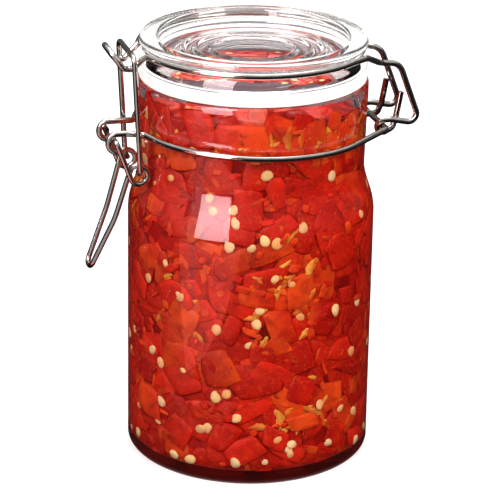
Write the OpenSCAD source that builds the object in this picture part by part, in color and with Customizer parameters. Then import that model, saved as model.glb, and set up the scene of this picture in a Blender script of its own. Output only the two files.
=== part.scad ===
// Clip-top preserving jar: glass jar and lid, sealing ring, and a wire clamp.
// Z is up, the jar stands on z = 0, the latch is at -X and the hinge at +X.
// Lengths are in millimetres.

/* [Jar] */
// Outside diameter of the jar's body
body_d = 80; // [62:1:110]
// Height of the glass jar, from the table to the top of its lip
jar_h = 126.3; // [100:0.1:170]
// Thickness of the glass wall
wall = 3; // [2:0.1:4.5]
// Thickness of the glass base at its centre
base_t = 4.2; // [3:0.1:8]
// How far the neck stands in from the body, on each side
neck_step = 3.6; // [2:0.1:8]
// Height of the straight neck, lip included
neck_h = 27.8; // [26.5:0.1:34]
// Height of the curved shoulder between the body and the neck
shoulder_h = 16.5; // [10:0.5:30]
// Height of the lip around the mouth
lip_h = 6.3; // [3:0.1:7.5]
// How far the lip stands out from the neck
lip_step = 0.6; // [0.3:0.1:1]
// Thickness of the glass at the mouth
lip_t = 4.5; // [3.5:0.1:6]
// Radius of the rounded corner at the foot
foot_r = 3; // [1:0.5:6]
// Width of the foot, from the body's side to the hollow under the base
foot_w = 8; // [7:0.5:12]
// Height of the hollow under the base
punt_h = 1; // [0.5:0.1:2]

/* [Lid] */
// How far the lid's edge stands in from the jar's lip
lid_inset = 0.5; // [0.3:0.1:1.5]
// Height of the lid's rim
lid_h = 9.6; // [8.6:0.1:14]
// Height of the wire groove above the lid's seat
groove_h = 6.2; // [4.5:0.1:6.4]
// How far the middle of the lid wire lies outside the lid's edge
groove_out = 0.1; // [0:0.1:0.3]
// Depth of the dish in the top of the lid
dish_depth = 5; // [2:0.1:6]
// Width of the rim around the dish
rim_w = 6; // [5:0.1:10]
// Thickness of the glass in the middle of the lid
floor_t = 4; // [3:0.1:4.4]
// Depth of the locating ring under the lid
plug_h = 5.2; // [4:0.1:6]
// Gap between the locating ring and the mouth, on each side
plug_gap = 3; // [2.5:0.1:5]
// Width of the locating ring
plug_w = 3; // [2:0.1:4]
// Height of the round ridges in the dish
ridge_h = 0.7; // [0.3:0.1:1.2]
// Half the width of a ridge at its foot
ridge_w = 1.6; // [1:0.1:1.9]

/* [Sealing ring] */
// Thickness of the sealing ring
seal_t = 3.9; // [2.5:0.1:5]
// Width of the sealing ring
seal_w = 6.2; // [5:0.1:6.4]

/* [Wires] */
// Diameter of the wire around the neck
neck_wire_d = 2; // [1.6:0.05:2.4]
// Diameter of the wire around the lid
lid_wire_d = 2; // [1.6:0.05:2.4]
// Diameter of the bail's wire
bail_wire_d = 1.8; // [1.4:0.05:2.2]
// Diameter of the lever's wire
lever_wire_d = 1.8; // [1.4:0.05:2.2]

/* [Neck wire] */
// Height of the neck wire below the top of the lip
ring_drop = 16; // [13:0.1:20]
// Tilt of the neck wire, down towards the hinge
ring_tilt = 1.5; // [0:0.1:2]
// Gap between the neck wire and the glass
ring_gap = 0.5; // [0.2:0.1:1]
// Distance of the hinge bar from the surface of the neck
hinge_out = 4.8; // [4.4:0.1:7]
// Half the length of the hinge bar, to its bends
hinge_half = 13; // [12.5:0.5:15]
// Distance of the two hooks from the middle plane
hook_y = 6.8; // [6:0.1:8]
// Inside radius of the hooks
hook_in_r = 2; // [1.6:0.1:2.6]

/* [Latch] */
// Distance of the lever's eyes from the surface of the neck, to the pin that they turn on
pin_out = 3; // [3:0.1:6]
// Height of the lever's pivot below the neck wire
pivot_drop = 0.9; // [0:0.1:3]
// Length of the lever's short arms, from pivot to bail
arm_len = 12.54; // [10.5:0.02:15.1]
// Angle of the short arms, from straight down towards the jar
arm_angle = 35.6; // [30:0.2:40]
// Inside radius of the lever's eyes
eye_in_r = 1.95; // [1.6:0.05:2.2]
// Distance of the lever's arms and eyes from the middle plane
arm_y = 9; // [8.8:0.1:11]
// Length of the handle below the pivot
handle_len = 43.2; // [35:0.2:55]
// How far the handle's tip stands out from the pivot
handle_out = 7.2; // [4:0.5:14]
// Half the width of the handle's tip
tip_half = 2.7; // [2.5:0.1:5]
// Distance of the bail's legs from the middle plane
bail_y = 11; // [11:0.1:13]
// Distance of the bail's cross bar from the lid's edge
bar_out = 4.95; // [4.8:0.05:5.1]
// Height of the bail's cross bar above the groove in the lid
bail_rise = 0.9; // [0.5:0.1:2]

/* [Lid wire] */
// Half the width of the tongue that the bail hooks over
tongue_y = 6; // [5:0.1:6]
// Reach of the tongue, from the lid's edge to its tip
tongue_out = 11.46; // [11:0.02:14]
// Height of the tongue's tip above the groove
tongue_rise = 2; // [1:0.1:2.6]
// Distance of the notch in the tongue from the lid's edge
notch_out = 4.5; // [4.4:0.05:4.6]
// Depth of the notch in the tongue, below the groove
notch_drop = 4.2; // [4:0.1:4.8]
// Distance of the two spring loops from the middle plane
loop_y = 9.6; // [9:0.1:10.2]
// Reach of the spring loops, from the hinge bar outwards
loop_out = 12.7; // [11:0.1:13.5]

/* [Fits] */
// Gap around a wire that turns on another wire
pin_gap = 0.06; // [0.03:0.01:0.1]
// Gap between the lid wire and its groove
groove_gap = 0.15; // [0.1:0.05:0.3]
// Gap between the sealing ring and the jar's lip
seal_gap = 0.1; // [0.05:0.05:0.3]

/* [Hidden] */
round_fn = 96;
wire_fn = 24;
bend_fn = 64;
// The collars over a wire's joints are too thin and short to see
collar_half = 0.08;
collar_step = 0.02;
collar_nip = 0.03;

body_r = body_d / 2;
neck_r = body_r - neck_step;
lip_r = neck_r + lip_step;
mouth_r = lip_r - lip_t;
neck_z = jar_h - neck_h;
shoulder_z = neck_z - shoulder_h;
seat_z = jar_h + seal_gap + seal_t;
lid_r = lip_r - lid_inset;
dish_r = lid_r - rim_w;
groove_z = seat_z + groove_h;
groove_r = lid_r + groove_out;
plug_r = mouth_r - plug_gap;

neck_wire_r = neck_wire_d / 2;
lid_wire_r = lid_wire_d / 2;
bail_wire_r = bail_wire_d / 2;
lever_wire_r = lever_wire_d / 2;

ring_r = neck_r + ring_gap + neck_wire_r;
ring_z = jar_h - ring_drop;
hinge_flat_x = neck_r + hinge_out;
eye_turn_r = neck_wire_r + pin_gap + lid_wire_r;

pivot = [-(neck_r + pin_out + arm_len * sin(arm_angle)), 0, ring_z - pivot_drop];
bail_pin = pivot + arm_len * [sin(arm_angle), 0, -cos(arm_angle)];
hook_turn_r = hook_in_r + neck_wire_r;
// The way from the lever's pivot to the middle of the hooks that it bears on
bearing = [0.8, 0, -0.6];
hook_play = hook_in_r - lever_wire_r - pin_gap;
hook_c = pivot + hook_play * bearing;
eye_r = eye_in_r + lever_wire_r;
eye_c = bail_pin - [0, 0, eye_in_r - bail_wire_r - pin_gap];
notch_x = -(lid_r + notch_out);
cross_bar = [-(lid_r + bar_out), 0, groove_z + bail_rise];

// The same point at a chosen distance from the middle plane
function at_y(p, y) = [p[0], y, p[2]];
function unit(v) = v / norm(v);
// Points of an arc, from angle a to angle b in n steps
function arc(c, r, a, b, n) = [for (i = [0:n]) c + r * [cos(a + (b - a) * i / n), sin(a + (b - a) * i / n)]];
// Smooth step from 1 to 0 as t goes from 0 to 1
function fall(t) = (1 + cos(180 * t)) / 2;
// Points of a round ridge of radius r on the dish, from its outer side to its inner side
function ridge(r, z) = [for (i = [-2:2]) [r - i * ridge_w / 2, z + ridge_h * fall(abs(i) / 2)]];
// A point of the neck wire's tilted plane
function lay(x, y) = [x * cos(ring_tilt), y, ring_z - x * sin(ring_tilt)];
function ring_point(a) = lay(ring_r * cos(a), ring_r * sin(a));
// Distance from a corner at b, between a and c, to the start of a bend of radius r
function bend_len(a, b, c, r) = r * tan(acos(unit(b - a) * unit(c - b)) / 2);

hinge = lay(hinge_flat_x, 0);
hinge_reach = norm([hinge_flat_x, hinge_half]);
hinge_leave = atan2(hinge_half, hinge_flat_x) + acos(ring_r / hinge_reach);
// Where the wires leave their rings, in degrees from the hinge
hook_leave = 162;
tongue_leave = 160;
loop_leave = 50;
// How far a pin's end stands in from the inner side of the eye or hook that it turns in
pin_over = 0.6;

// A straight piece of wire between two points
module rod(a, b, d) {
    v = b - a;
    translate(a)
        rotate([0, acos(v[2] / norm(v)), atan2(v[1], v[0])])
            cylinder(h = norm(v), d = d, $fn = wire_fn);
}

// A bend in a wire: c is its centre, x points to its start and y along the wire there
module bend(c, x, y, r, d, turn) {
    z = cross(x, y);
    multmatrix([
        [x[0], y[0], z[0], c[0]],
        [x[1], y[1], z[1], c[1]],
        [x[2], y[2], z[2], c[2]],
        [0, 0, 0, 1]
    ])
        rotate_extrude(angle = turn, $fn = bend_fn)
            translate([r, 0])
                circle(d = d, $fn = wire_fn);
}

// A thin collar that closes the joint between two lengths of one wire
module joint(p, dir, d) {
    rod(p - collar_half * unit(dir), p + collar_half * unit(dir), d + 2 * collar_step);
}

// Bent wire through the points p, with the bend radius r[i] at the point p[i + 1].
// Where an end is joined to more of the same wire, it stops just short inside a collar.
module wire(p, r, d, joined = [false, false]) {
    last = len(p) - 1;
    cut = [for (i = [0:last]) i == 0 || i == last ? 0 : bend_len(p[i - 1], p[i], p[i + 1], r[i - 1])];
    for (i = [0:last - 1]) {
        u = unit(p[i + 1] - p[i]);
        short_in = i > 0 || joined[0] ? collar_nip : 0;
        short_out = i < last - 1 || joined[1] ? collar_nip : 0;
        rod(p[i] + (cut[i] + short_in) * u, p[i + 1] - (cut[i + 1] + short_out) * u, d);
        if (short_in > 0) joint(p[i] + cut[i] * u, u, d);
        if (short_out > 0) joint(p[i + 1] - cut[i + 1] * u, u, d);
    }
    for (i = [1:last - 1]) {
        u = unit(p[i] - p[i - 1]);
        v = unit(p[i + 1] - p[i]);
        side = unit(v - (u * v) * u);
        bend(p[i] - cut[i] * u + r[i - 1] * side, -side, u, r[i - 1], d, acos(u * v));
    }
}

// The same shape on both sides of the middle plane
module both_sides() {
    children();
    mirror([0, 1, 0]) children();
}

function flip(p) = [p[0], -p[1], p[2]];
function flipped(list) = [for (i = [len(list) - 1:-1:0]) flip(list[i])];
// A row of values followed by the same row backwards
function both_ways(list) = concat(list, [for (i = [len(list) - 1:-1:0]) list[i]]);

module glass_jar() {
    inner_r = body_r - wall;
    heel = 3;
    lip_round = 1.3;
    foot_in_r = body_r - foot_w;
    steps = 12;
    outside = concat(
        [for (i = [0:6]) [foot_in_r * i / 6, punt_h * fall(i / 6)]],
        arc([body_r - foot_r, foot_r], foot_r, -90, 0, 6),
        [for (i = [0:steps]) [neck_r + neck_step * fall(i / steps), shoulder_z + shoulder_h * i / steps]],
        [[neck_r, jar_h - lip_h - lip_step]],
        [[lip_r, jar_h - lip_h]],
        arc([lip_r - lip_round, jar_h - lip_round], lip_round, 0, 90, 5)
    );
    inside = concat(
        arc([mouth_r + lip_round, jar_h - lip_round], lip_round, 90, 180, 5),
        [[mouth_r, jar_h - lip_h]],
        [for (i = [steps:-1:0])
            [neck_r - wall + neck_step * fall(i / steps), shoulder_z + shoulder_h * i / steps]],
        arc([inner_r - heel, base_t + heel], heel, 0, -90, 6),
        [[0, base_t]]
    );
    color([0.85, 0.9, 0.92, 0.35])
        rotate_extrude($fn = round_fn)
            polygon(concat(outside, inside));
}

module glass_lid() {
    edge = 0.9;
    crest = 1.5;
    top_z = seat_z + lid_h;
    dish_z = top_z - dish_depth;
    groove_cut = lid_wire_r + groove_gap;
    groove_edge = acos((lid_r - groove_r) / groove_cut);
    plug_z = seat_z - plug_h;
    plug_round = 0.8;
    chamfer = 1;
    dish_round = 1;
    // Each ridge is given by its distance in from the edge of the dish
    ridges = [8, 12, 17];
    profile = concat(
        [[0, dish_z - floor_t], [plug_r - plug_w - chamfer, dish_z - floor_t]],
        [[plug_r - plug_w, seat_z - chamfer]],
        arc([plug_r - plug_w + plug_round, plug_z + plug_round], plug_round, 180, 270, 4),
        arc([plug_r - plug_round, plug_z + plug_round], plug_round, -90, 0, 4),
        [[plug_r, seat_z]],
        arc([lid_r - edge, seat_z + edge], edge, -90, 0, 4),
        arc([groove_r, groove_z], groove_cut, 360 - groove_edge, groove_edge, 10),
        arc([lid_r - crest, top_z - crest], crest, 0, 90, 6),
        arc([dish_r + crest, top_z - crest], crest, 90, 160, 5),
        arc([dish_r - dish_round, dish_z + dish_round], dish_round, -20, -90, 4),
        [for (d = ridges) each ridge(dish_r - d, dish_z)],
        [[0, dish_z]]
    );
    color([0.85, 0.9, 0.92, 0.35])
        rotate_extrude($fn = round_fn)
            polygon(profile);
}

module sealing_ring() {
    soft = 0.7;
    out_r = lip_r - lid_inset;
    in_r = out_r - seal_w;
    low = jar_h + seal_gap;
    profile = concat(
        arc([out_r - soft, low + soft], soft, -90, 0, 3),
        arc([out_r - soft, low + seal_t - soft], soft, 0, 90, 3),
        arc([in_r + soft, low + seal_t - soft], soft, 90, 180, 3),
        arc([in_r + soft, low + soft], soft, 180, 270, 3)
    );
    color([0.95, 0.95, 0.93])
        rotate_extrude($fn = round_fn)
            polygon(profile);
}

module neck_wire() {
    hook_sweep = 172;
    hook_lead = 2.4;
    ring_lead = 4;
    lead_bends = [5, 2.4];
    bar_bend = 3;
    hook_top = at_y(hook_c, hook_y) + [0, 0, hook_turn_r];
    along = unit(ring_point(hook_leave + 90) - lay(0, 0));
    corner = ring_point(hook_leave) + ring_lead * along;
    bar_end = lay(hinge_flat_x, hinge_half);
    color([0.72, 0.72, 0.7]) {
        both_sides() {
            wire(
                [hook_top, hook_top + [hook_lead, 0, 0], corner, ring_point(hook_leave)],
                lead_bends,
                neck_wire_d,
                [true, true]
            );
            bend(at_y(hook_c, hook_y), [0, 0, 1], [-1, 0, 0], hook_turn_r, neck_wire_d, hook_sweep);
            bend(
                lay(0, 0),
                unit(ring_point(hinge_leave) - lay(0, 0)),
                unit(ring_point(hinge_leave + 90) - lay(0, 0)),
                ring_r,
                neck_wire_d,
                hook_leave - hinge_leave
            );
        }
        wire(
            [ring_point(hinge_leave), bar_end, flip(bar_end), flip(ring_point(hinge_leave))],
            [bar_bend, bar_bend],
            neck_wire_d,
            [true, true]
        );
    }
}

module lid_wire() {
    groove_c = [0, 0, groove_z];
    // Tongue, from the groove to the middle plane
    tongue_lead = 6.2;
    notch_floor = [-2.9, 0, 0.5];
    tongue_bends = [2.4, 2, 2, 5];
    off = [cos(tongue_leave), sin(tongue_leave), 0];
    off_dir = [-sin(tongue_leave), cos(tongue_leave), 0];
    notch = [notch_x, tongue_y, groove_z - notch_drop];
    tongue = [
        groove_c + groove_r * off,
        groove_c + groove_r * off + tongue_lead * off_dir,
        notch,
        notch + notch_floor,
        [-(lid_r + tongue_out), tongue_y, groove_z + tongue_rise]
    ];
    // Spring loop, from the groove out, down and back to the hinge bar
    lead_out = 1.213;
    loop_lead = sqrt((groove_r + lead_out) ^ 2 - groove_r ^ 2);
    loop_sag = [0, 0, -0.4];
    knee = [lid_r + 2.4, loop_y + 1.4, groove_z - 5.6];
    heel = [hinge[0] + 4.8, loop_y, groove_z - 6.6];
    eye_lead = 2.4;
    loop_bends = [8, 5, 5, 2.6, 5];
    out = [cos(loop_leave), sin(loop_leave), 0];
    out_dir = [sin(loop_leave), -cos(loop_leave), 0];
    eye_top = at_y(hinge, loop_y) + [0, 0, eye_turn_r];
    loop = [
        groove_c + groove_r * out,
        groove_c + groove_r * out + loop_lead * out_dir + loop_sag,
        knee,
        heel,
        [hinge[0] + loop_out, loop_y, hinge[2]],
        eye_top + [eye_lead, 0, 0],
        eye_top
    ];
    // Cut end of the wire, upright inside the loop
    eye_sweep = 195;
    tail_lead = [3.2, -1.7, 0.8];
    tail_in = 2.2;
    tail_foot = [5, 0, 2.4];
    tail_top = [6.4, 0, 10.4];
    tail_bends = [1.8, 3];
    eye_end = at_y(hinge, loop_y) + eye_turn_r * [-sin(eye_sweep), 0, cos(eye_sweep)];
    tail = [
        eye_end,
        eye_end + tail_lead,
        at_y(hinge, loop_y - tail_in) + tail_foot,
        at_y(hinge, loop_y - tail_in) + tail_top
    ];
    color([0.75, 0.75, 0.73]) {
        both_sides() {
            bend(groove_c, out, -out_dir, groove_r, lid_wire_d, tongue_leave - loop_leave);
            wire(loop, loop_bends, lid_wire_d, [true, true]);
            bend(at_y(hinge, loop_y), [0, 0, 1], [-1, 0, 0], eye_turn_r, lid_wire_d, eye_sweep);
            wire(tail, tail_bends, lid_wire_d, [true, false]);
        }
        wire(concat(tongue, flipped(tongue)), both_ways(tongue_bends), lid_wire_d, [true, true]);
    }
}

module bail_wire() {
    pin_in = arm_y - lever_wire_r - pin_over;
    bends = [1.2, 2.6];
    side = [at_y(bail_pin, pin_in), at_y(bail_pin, bail_y), at_y(cross_bar, bail_y)];
    color([0.78, 0.77, 0.75])
        wire(concat(side, flipped(side)), both_ways(bends), bail_wire_d);
}

module lever_handle() {
    stub_in = hook_y - neck_wire_r - pin_over;
    arm_bend = 1.2;
    reach = eye_c - pivot;
    // Direction of the short arm, which runs into the eye from below
    down = atan2(reach[2], reach[0]) - asin(eye_r / norm(reach));
    start = down - 90;
    start_dir = [cos(start), 0, sin(start)];
    start_point = at_y(eye_c, arm_y) + eye_r * start_dir;
    // The eye ends past its top, and the wire crosses over to the handle's leg
    end = 70;
    end_point = at_y(eye_c, arm_y) + eye_r * [cos(end), 0, sin(end)];
    leave = [-sin(end), 0, cos(end)];
    eye_lead = 3;
    cross_over = [0, -0.8, 0];
    leg_y = arm_y - lever_wire_d - 0.3;
    leg_top = [-3.3, 0, -1.4];
    waist = [0.1, 0, -handle_len * 0.6];
    waist_y = leg_y - 0.9;
    leg_bends = [2, 6, 30, 2.3];
    leg = [
        end_point,
        end_point + eye_lead * leave + cross_over,
        at_y(eye_c, leg_y) + leg_top,
        at_y(pivot, waist_y) + waist,
        at_y(pivot, tip_half) + [-handle_out, 0, -handle_len]
    ];
    color([0.78, 0.77, 0.75]) {
        both_sides() {
            wire(
                [at_y(pivot, stub_in), at_y(pivot, arm_y), start_point],
                [arm_bend],
                lever_wire_d,
                [false, true]
            );
            bend(
                at_y(eye_c, arm_y),
                start_dir,
                [-sin(start), 0, cos(start)],
                eye_r,
                lever_wire_d,
                end - start
            );
        }
        wire(concat(leg, flipped(leg)), both_ways(leg_bends), lever_wire_d, [true, true]);
    }
}

glass_jar();
glass_lid();
sealing_ring();
neck_wire();
lid_wire();
bail_wire();
lever_handle();
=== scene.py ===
"""Clip-top preserving jar, filled with chopped pepper relish, on a pale studio floor.

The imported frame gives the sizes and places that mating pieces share. Lengths are in
millimetres, and MM turns them to Blender's metres.
"""

import math
import random

import bmesh
import bpy
from bpy.props import FloatProperty, FloatVectorProperty, IntProperty, PointerProperty
from mathutils import Matrix, Vector, noise


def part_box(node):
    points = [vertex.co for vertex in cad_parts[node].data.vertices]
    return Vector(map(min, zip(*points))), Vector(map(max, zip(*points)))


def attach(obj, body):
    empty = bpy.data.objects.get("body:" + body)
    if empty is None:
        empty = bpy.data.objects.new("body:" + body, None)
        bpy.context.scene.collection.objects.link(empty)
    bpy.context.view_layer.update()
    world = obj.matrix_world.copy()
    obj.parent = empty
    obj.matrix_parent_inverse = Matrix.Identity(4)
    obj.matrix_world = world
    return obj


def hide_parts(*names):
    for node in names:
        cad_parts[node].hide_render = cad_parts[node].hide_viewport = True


bl_info = {
    "name": "Clip-top Preserving Jar",
    "version": (1, 0, 0),
    "blender": (4, 5, 0),
    "location": "3D Viewport > Sidebar > Jar",
    "description": "Glass jar and lid, sealing ring, clamp wires and pepper relish around a fixed frame",
    "category": "Object",
}

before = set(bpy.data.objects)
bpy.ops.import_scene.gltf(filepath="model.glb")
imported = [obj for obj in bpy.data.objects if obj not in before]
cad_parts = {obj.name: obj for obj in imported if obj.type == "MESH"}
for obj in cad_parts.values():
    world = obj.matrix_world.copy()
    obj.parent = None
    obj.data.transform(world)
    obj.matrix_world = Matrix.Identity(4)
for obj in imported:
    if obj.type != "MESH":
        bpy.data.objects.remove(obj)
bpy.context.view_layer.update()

MM = 0.001
jar_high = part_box("glass_jar")[1]
lid_low, lid_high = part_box("glass_lid")
seal_low, seal_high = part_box("sealing_ring")
BODY_R = jar_high.x / MM
JAR_H = jar_high.z / MM
LID_R = lid_high.x / MM
LID_TOP = lid_high.z / MM
PLUG_Z = lid_low.z / MM
SEAL_R = seal_high.x / MM
SEAL_Z = seal_low.z / MM
SEAT_Z = seal_high.z / MM
# Steps round a turned piece, and along the curves of its outline
ROUND_STEPS = 160
SHOULDER_STEPS = 32
HEEL_STEPS = 12
LIP_STEPS = 8
CORNER_STEPS = 6


# ---------------------------------------------------------------- colours and nodes


def colour(code):
    """Linear RGBA of an sRGB hex colour."""
    parts = [int(code[i : i + 2], 16) / 255 for i in (0, 2, 4)]
    linear = [p / 12.92 if p <= 0.04045 else ((p + 0.055) / 1.055) ** 2.4 for p in parts]
    return (*linear, 1.0)


def per(size):
    """Texture scale that gives features of this size in millimetres on Object coordinates."""
    return 1 / (size * MM)


def add_node(tree, kind, inputs=None, **settings):
    """Adds a node, sets its properties, and fills or links its inputs, by name or by number.
    Map Range takes its value at 0, the old range at 1 and 2 and the new one at 3 and 4.
    Mix takes its factor at 0 and its colours at 6 and 7."""
    node = tree.nodes.new(kind)
    for key, value in settings.items():
        setattr(node, key, value)
    for key, value in (inputs or {}).items():
        if isinstance(value, bpy.types.NodeSocket):
            tree.links.new(value, node.inputs[key])
        else:
            node.inputs[key].default_value = value
    return node


def new_material(name):
    """An empty node material; returns the material and its tree."""
    material = bpy.data.materials.new(name)
    material.use_nodes = True
    tree = material.node_tree
    tree.nodes.clear()
    return material, tree


def with_shader(material, shader):
    """Gives the material its shader, and returns it."""
    add_node(material.node_tree, "ShaderNodeOutputMaterial", {0: shader.outputs[0]})
    return material


# ---------------------------------------------------------------- settings


def length(name, value, description, low=0.0, high=200.0):
    """A size in millimetres, kept as a Blender length."""
    return FloatProperty(
        name=name, description=description, default=value * MM, min=low * MM, max=high * MM,
        unit="LENGTH", precision=5,
    )


def tint(name, code, description):
    """A colour setting."""
    return FloatVectorProperty(
        name=name, description=description, default=colour(code), size=4, subtype="COLOR", min=0, max=1
    )


def rotation(name, degrees, description):
    """An angle setting."""
    return FloatProperty(name=name, description=description, default=math.radians(degrees), subtype="ANGLE")


def wattage(name, value, description):
    """A lamp's power."""
    return FloatProperty(
        name=name, description=description, default=value, min=0, subtype="POWER", unit="POWER"
    )


def brightness(name, value, description):
    """A brightness, where 1 is white."""
    return FloatProperty(name=name, description=description, default=value, min=0)


class JarGlassSizes(bpy.types.PropertyGroup):
    """Walls and steps of the pressed glass jar"""

    wall: length("Wall", 3, "Thickness of the jar's side")
    base: length("Base", 4.2, "Thickness of the base at its centre")
    neck_step: length("Neck step", 3.6, "How far the neck stands in from the body")
    neck_height: length("Neck height", 27.8, "Height of the straight neck, lip included")
    shoulder: length("Shoulder", 16.5, "Height of the curve between body and neck")
    lip_height: length("Lip height", 6.3, "Height of the lip round the mouth")
    lip_step: length("Lip step", 0.6, "How far the lip stands out from the neck")
    lip_wall: length("Lip wall", 4.5, "Thickness of the glass at the mouth")
    lip_round: length("Lip round", 1.3, "Radius on the lip's edges")
    foot_round: length("Foot round", 3, "Radius at the foot")
    foot_width: length("Foot width", 8, "From the body's side to the hollow under the base")
    punt: length("Punt", 1, "Height of the hollow under the base")
    heel: length("Heel", 3, "Radius inside, between side and base")
    glass: tint("Glass", "F7FAF9", "Tint of the soda-lime glass")


class LidGlassSizes(bpy.types.PropertyGroup):
    """Steps of the pressed glass lid"""

    groove_height: length("Groove height", 6.2, "Height of the wire groove above the seat")
    groove_out: length("Groove centre", 0.1, "Middle of the lid wire, outside the lid's edge")
    groove_cut: length("Groove radius", 1.15, "Radius of the wire groove")
    dish_depth: length("Dish depth", 5, "Depth of the dish in the top")
    rim: length("Rim", 6, "Width of the rim round the dish")
    floor: length("Floor", 4, "Thickness in the middle")
    plug_in: length("Locating ring", 7, "Locating ring's side, in from the lid's edge")
    plug_width: length("Ring width", 3, "Width of the locating ring")
    plug_round: length("Ring round", 0.8, "Radius on the locating ring")
    edge: length("Lower edge", 0.9, "Radius on the lid's lower edge")
    crest: length("Crest", 1.5, "Radius on the rim's crest")
    ring_root: length("Ring root", 1, "Inner foot of the locating ring, below the seat")
    dish_round: length("Dish round", 1, "Radius at the foot of the dish's side")
    ridge_height: length("Ridge height", 0.7, "Height of the round ridges in the dish")
    ridge_half: length("Ridge half width", 1.6, "Half the width of a ridge")
    glass: tint("Glass", "F6F7F8", "Tint of the soda-lime glass")


class TrimSizes(bpy.types.PropertyGroup):
    """Sealing ring and the finish of the wires"""

    seal_width: length("Ring width", 6.2, "Width of the sealing ring")
    seal_round: length("Ring round", 0.7, "Radius on the ring's edges")
    press: length("Contact", 0.06, "How far the ring presses into the lid, so that no air shows")
    silicone: tint("Silicone", "F1F0EC", "Colour of the silicone")
    steel: tint("Steel", "C6C0BA", "Colour of the drawn wire")
    steel_shade: tint("Steel shade", "8A8078", "Colour in the die lines of the wire")


class RelishSettings(bpy.types.PropertyGroup):
    """What the jar is filled with"""

    fill: length("Fill height", 119.8, "Height of the relish from the table")
    bite: length("Contact", 0.06, "How far the relish reaches into the glass, so that no air shows")
    piece: length("Piece", 11, "Usual width of a piece of pepper")
    seed_size: length("Seed", 3.8, "Width of a pepper seed")
    seeds: IntProperty(name="Seeds", description="Seeds against the glass", default=150, min=0, max=600)
    strands: IntProperty(name="Strands", description="Strands of pith", default=270, min=0, max=1200)
    scraps: IntProperty(name="Scraps", description="Small bits of flesh", default=760, min=0, max=2000)
    lumps: IntProperty(name="Lumps", description="Pieces of pepper on top", default=90, min=0, max=300)
    draw: IntProperty(name="Draw", description="Start of the random draws", default=7, min=0)
    flesh_red: tint("Flesh red", "D21E08", "Usual colour of the flesh")
    flesh_deep: tint("Flesh deep", "AE0C02", "Deep red of thick flesh")
    flesh_orange: tint("Flesh orange", "E84A12", "Colour of the paler flesh")
    # Deep red of the juice, made darker as painted shade for the gaps between the pieces
    deep_red_and_gap_shade: tint("Gaps", "780602", "Colour in the gaps")
    seed_cream: tint("Seed cream", "F2C987", "Colour of the seeds")
    pith: tint("Pith", "F0912F", "Colour of the pith")


class StageSettings(bpy.types.PropertyGroup):
    """Camera, floor and light"""

    distance: length("Distance", 762.35, "Camera from the jar's axis, across the floor", high=5000)
    height: length("Height", 353.36, "Camera above the floor", high=5000)
    azimuth: rotation("Azimuth", -16, "Turn of the camera round the jar")
    pitch: rotation("Pitch", 20.624, "Downward tilt of the camera")
    roll: rotation("Roll", 1.007, "Roll of the camera")
    lens: FloatProperty(name="Lens", description="Focal length on a 36 mm sensor", default=178.94)
    top_light: wattage("Top light", 12, "Power of the overhead panel")
    key_light: wattage("Key light", 6, "Power of each soft light in front")
    sky: brightness("Sky", 0.8, "Brightness of the white surroundings")
    box_glow: brightness("Soft box", 16, "Brightness of the soft box in reflections")
    table_glow: brightness("Table glow", 2.8, "Brightness of the soft box mirrored in the table")
    flag: brightness("Flag", 0.09, "Brightness of the dark flags in reflections")
    table: brightness("Table", 0.0135, "Brightness of the dark table in reflections")
    haze: brightness("Haze", 0.14, "Brightness of the grey wall in reflections")
    screen: brightness("Screen", 0.55, "Brightness of the far side of the screen by the latch")
    floor: tint("Floor", "FFFFFF", "Colour of the floor")
    surround: tint("Surround", "786C72", "Grey that the clear glass shows behind it")
    box_tint: tint("Soft box tint", "FFE4EA", "Colour of the soft box")
    table_tint: tint("Table tint", "FF7060", "Colour of the soft box mirrored in the table")


class ClampJarSettings(bpy.types.PropertyGroup):
    """All settings of the jar"""

    jar: PointerProperty(type=JarGlassSizes)
    lid: PointerProperty(type=LidGlassSizes)
    trim: PointerProperty(type=TrimSizes)
    relish: PointerProperty(type=RelishSettings)
    stage: PointerProperty(type=StageSettings)


def sizes(group):
    """A settings group's lengths in millimetres, by name."""
    settings = group.bl_rna.properties
    lengths = [key for key in settings.keys() if settings[key].unit == "LENGTH"]
    return {key: getattr(group, key) / MM for key in lengths}


# ---------------------------------------------------------------- shapes


def arc(centre, radius, start, end, steps):
    """Points (radius, height) along an arc from start to end, in degrees."""
    angles = [math.radians(start + (end - start) * i / steps) for i in range(steps + 1)]
    return [(centre[0] + radius * math.cos(a), centre[1] + radius * math.sin(a)) for a in angles]


def fall(t):
    """Smooth step from 1 to 0 as t goes from 0 to 1."""
    return (1 + math.cos(math.pi * t)) / 2


def lathe(profile, closed=False):
    """A bmesh turned about the Z axis from an outline of (radius, height) points in millimetres.
    An open outline starts and ends on the axis, and a closed one makes a ring."""
    bm = bmesh.new()
    verts = [bm.verts.new((r * MM, 0, z * MM)) for r, z in profile]
    for first, second in zip(verts, verts[1:]):
        bm.edges.new((first, second))
    if closed:
        bm.edges.new((verts[-1], verts[0]))
    bmesh.ops.spin(
        bm, geom=bm.verts[:] + bm.edges[:], cent=(0, 0, 0), axis=(0, 0, 1),
        angle=math.tau, steps=ROUND_STEPS, use_merge=True,
    )
    bmesh.ops.remove_doubles(bm, verts=bm.verts[:], dist=0.0005 * MM)
    bmesh.ops.recalc_face_normals(bm, faces=bm.faces[:])
    return bm


def new_piece(name, bm, material):
    """Makes the bmesh an object of one material."""
    mesh = bpy.data.meshes.new(name)
    bm.to_mesh(mesh)
    bm.free()
    mesh.materials.append(material)
    piece = bpy.data.objects.new(name, mesh)
    bpy.context.scene.collection.objects.link(piece)
    return piece


def finish_piece(name, bm, material, body):
    """Makes the bmesh an object with smooth faces, and lets it ride on a body."""
    piece = new_piece(name, bm, material)
    piece.data.shade_smooth()
    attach(piece, body)
    return piece


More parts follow.
